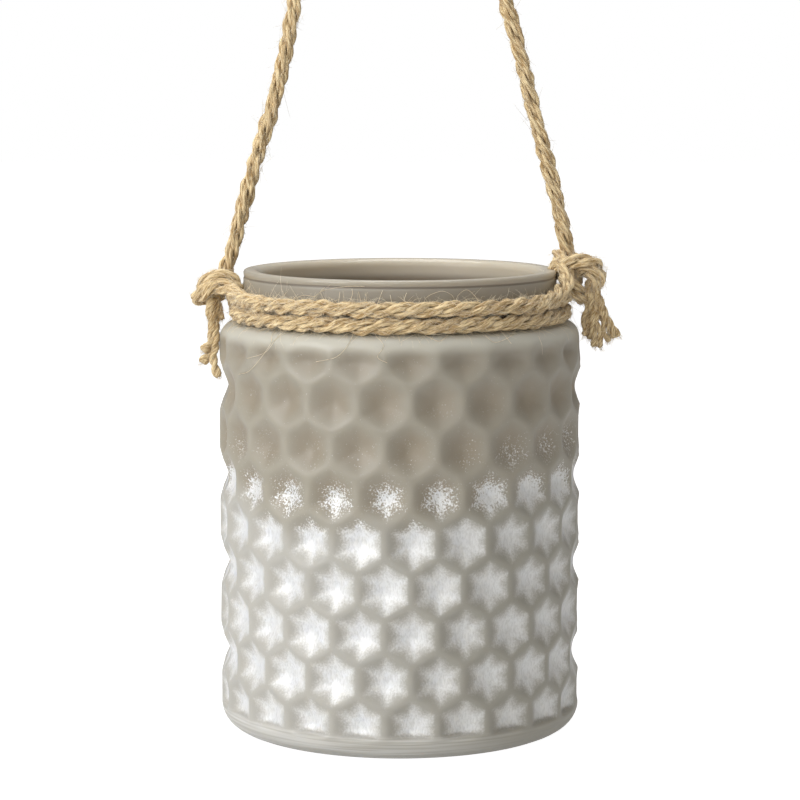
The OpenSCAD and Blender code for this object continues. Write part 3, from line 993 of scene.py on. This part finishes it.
def tail(name, seed, material, routes, radius, fibres):
    """A tail of separate yarns, one along each route, with this many fibres on each."""
    threads = Threads(seed)
    for route in routes:
        path = single_yarn(threads, metres(route), radius)
        add_fuzz(threads, path, fibres, radius=radius, longest=2.4, clear=keep_off_glass)
    return threads.piece(name, material)


def make_tails(material):
    left = tail("left_rope_tail", 31, material, LEFT_TAIL_STRANDS, radius=1.5 * MM,
                fibres=110)
    place(left, "jar", "jute_rope", "left_tail")
    routes = [right_tail_route(end, math.sin(2 * k)) for k, end in enumerate(RIGHT_TAIL_ENDS)]
    right = tail("right_rope_tail", 32, material, routes, radius=1.28 * MM, fibres=80)
    place(right, "jar", "jute_rope", "right_tail")


def make_handle(material):
    threads = Threads(21)
    route = LEFT_END + HANDLE_ROUTE + RIGHT_END
    path = lay_rope(threads, route)
    rope = threads.piece("rope_handle", material)
    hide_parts("handle_rope")

    fuzz = Threads(22)
    add_fuzz(fuzz, path, 1700, longest=2.6, outward=HANDLE_LEAN)
    add_fuzz(fuzz, path, 1000, longest=5.0, outward=LYING)
    hair = fuzz.piece("rope_handle_fibres", material)
    for piece in (rope, hair):
        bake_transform(piece)


# ---------------------------------------------------------------- tealight
def foil_material():
    n = Nodes("drawn_foil")
    where = n.position()
    brushed = n.noise(n.scaled(where, (300, 300, 2500)), 1.0, 3)
    dull = n.noise(where, 120, 2)
    n.set(Base_Color=n.mix(dull, (0.78, 0.78, 0.79), (0.62, 0.62, 0.64)),
          Roughness=n.ramp(brushed, 0.3, 0.7, 0.22, 0.4), Normal=n.bump(brushed, 0.15, 0.1 * MM))
    n.set(Metallic=1.0)
    return n.material


def wax_material():
    n = Nodes("candle_wax")
    where = n.position()
    mottled = n.noise(where, 160, 4)
    n.set(Base_Color=n.mix(mottled, (0.90, 0.87, 0.78), (0.82, 0.78, 0.68)),
          Roughness=n.ramp(mottled, 0.3, 0.7, 0.35, 0.5), Normal=n.bump(mottled, 0.1, 0.2 * MM))
    n.set(Subsurface_Weight=0.4, Subsurface_Scale=4 * MM)
    return n.material


def wick_material():
    n = Nodes("waxed_cotton")
    fibre = n.attribute("fibre").outputs["Vector"]
    grain = n.noise(n.scaled(fibre, (900, 5000, 5000)), 1.0, 2)
    n.set(Base_Color=n.mix(grain, (0.86, 0.84, 0.76), (0.62, 0.58, 0.5)), Roughness=0.7,
          Normal=n.bump(grain, 0.5, 0.2 * MM))
    return n.material


def cup_profile(radius, floor, top):
    """Up the outside from the middle of the underside, over the rolled rim and back down."""
    wall, bead = 0.4 * MM, 0.35 * MM
    outer = [(2 * MM, floor), (radius - 2.2 * MM, floor)]
    outer += arc(radius - 1.6 * MM, floor + 1.2 * MM, 1.2 * MM, -80, 0, 6)
    outer += [(radius - 0.4 * MM, floor + h * MM) for h in (3, 6, 9, 12, 14)]
    outer += arc(radius - bead, top - bead, bead, -60, 180, 12)
    inner = [(radius - wall - 0.5 * MM, floor + h * MM) for h in (14, 12, 9, 6, 3)]
    inner += [(radius - 2.4 * MM, floor + wall), (2 * MM, floor + wall)]
    return outer + inner


def make_cup(material):
    """A drawn cup: fluted side, rounded foot and a rolled rim."""
    columns, flutes = 240, 40
    points = lathe(cup_profile(CUP_HIGH.x, CUP_LOW.z, CUP_HIGH.z), columns)
    turn = TAU * np.arange(columns) / columns
    flute = 0.22 * MM * (0.5 + 0.5 * np.cos(flutes * turn))
    z = points[..., 2]
    on_side = (z > CUP_LOW.z + 1.5 * MM) & (z < CUP_HIGH.z - 1 * MM)
    r = np.hypot(points[..., 0], points[..., 1])
    points[..., :2] *= ((r - flute * on_side) / r)[..., None]
    cup = ring_piece("tealight_foil_cup", points, material)
    place(cup, "tealight", "cup_metal", "tealight_cup")


def make_wax(material):
    """Wax with a raised edge against the cup and a small well round the wick."""
    radius = WAX_HIGH.x - 0.5 * MM
    top = WAX_HIGH.z
    profile = [(1.2 * MM, WAX_LOW.z), (radius - 0.6 * MM, WAX_LOW.z), (radius, WAX_LOW.z + 0.6 * MM),
               (radius, top - 1.5 * MM), (radius, top - 0.1 * MM), (radius - 0.35 * MM, top),
               (radius - 0.9 * MM, top - 0.35 * MM), (radius - 2.2 * MM, top - 0.6 * MM),
               (radius * 0.6, top - 0.7 * MM), (radius * 0.3, top - 0.75 * MM),
               (2.4 * MM, top - 0.65 * MM), (1.5 * MM, top - 0.3 * MM), (1.05 * MM, top - 0.25 * MM),
               (0.95 * MM, top - 1.2 * MM), (0.95 * MM, WAX_LOW.z + 1 * MM)]
    wax = ring_piece("tealight_wax_fill", lathe(profile, 96), material)
    place(wax, "tealight", "wax", "tealight_wax")


def make_clip(material):
    """A stamped disc with a crimped tube that holds the wick."""
    tube_r = 1.5 * MM
    disc_r = CLIP_HIGH.x
    profile = [(0.95 * MM, CLIP_LOW.z), (disc_r, CLIP_LOW.z), (disc_r, CLIP_LOW.z + 0.3 * MM),
               (disc_r - 0.5 * MM, CLIP_LOW.z + 0.5 * MM), (3 * MM, CLIP_LOW.z + 0.5 * MM),
               (tube_r + 0.4 * MM, CLIP_LOW.z + 0.9 * MM), (tube_r, CLIP_LOW.z + 1.6 * MM),
               (tube_r - 0.1 * MM, CLIP_HIGH.z), (0.95 * MM, CLIP_HIGH.z)]
    clip = ring_piece("wick_clip_disc", lathe(profile, 48), material)
    place(clip, "tealight", "cup_metal", "wick_clip")


def make_wick(material):
    threads = Threads(41)
    top = WICK_HIGH.z
    route = [(0, 0, WICK_LOW.z), (0, 0, WICK_LOW.z + 5 * MM), (0, 0, WICK_LOW.z + 11 * MM),
             (0.1 * MM, 0, top - 5 * MM), (0.3 * MM, 0.1 * MM, top - 2.5 * MM),
             (0.7 * MM, 0.2 * MM, top - 0.2 * MM)]
    lay_rope(threads, route, radius=0.8 * MM)
    place(threads.piece("wick_braid", material), "tealight", "wick_cotton", "tealight_wick")


# ---------------------------------------------------------------- build
make_camera()
jute = rope_material()
make_handle(jute)
make_neck_rope(jute)
make_knot("left_rope_knot", 13, jute, LEFT_KNOT, "left_knot")
make_knot("right_rope_knot", 14, jute, RIGHT_KNOT, "right_knot")
make_tails(jute)
make_jar(glass_material())
foil = foil_material()
make_cup(foil)
make_wax(wax_material())
make_clip(foil)
make_wick(wick_material())
for lamp in LAMPS:
    make_lamp(*lamp)
make_world()
make_floor()
bpy.context.scene.view_settings.view_transform = "Standard"
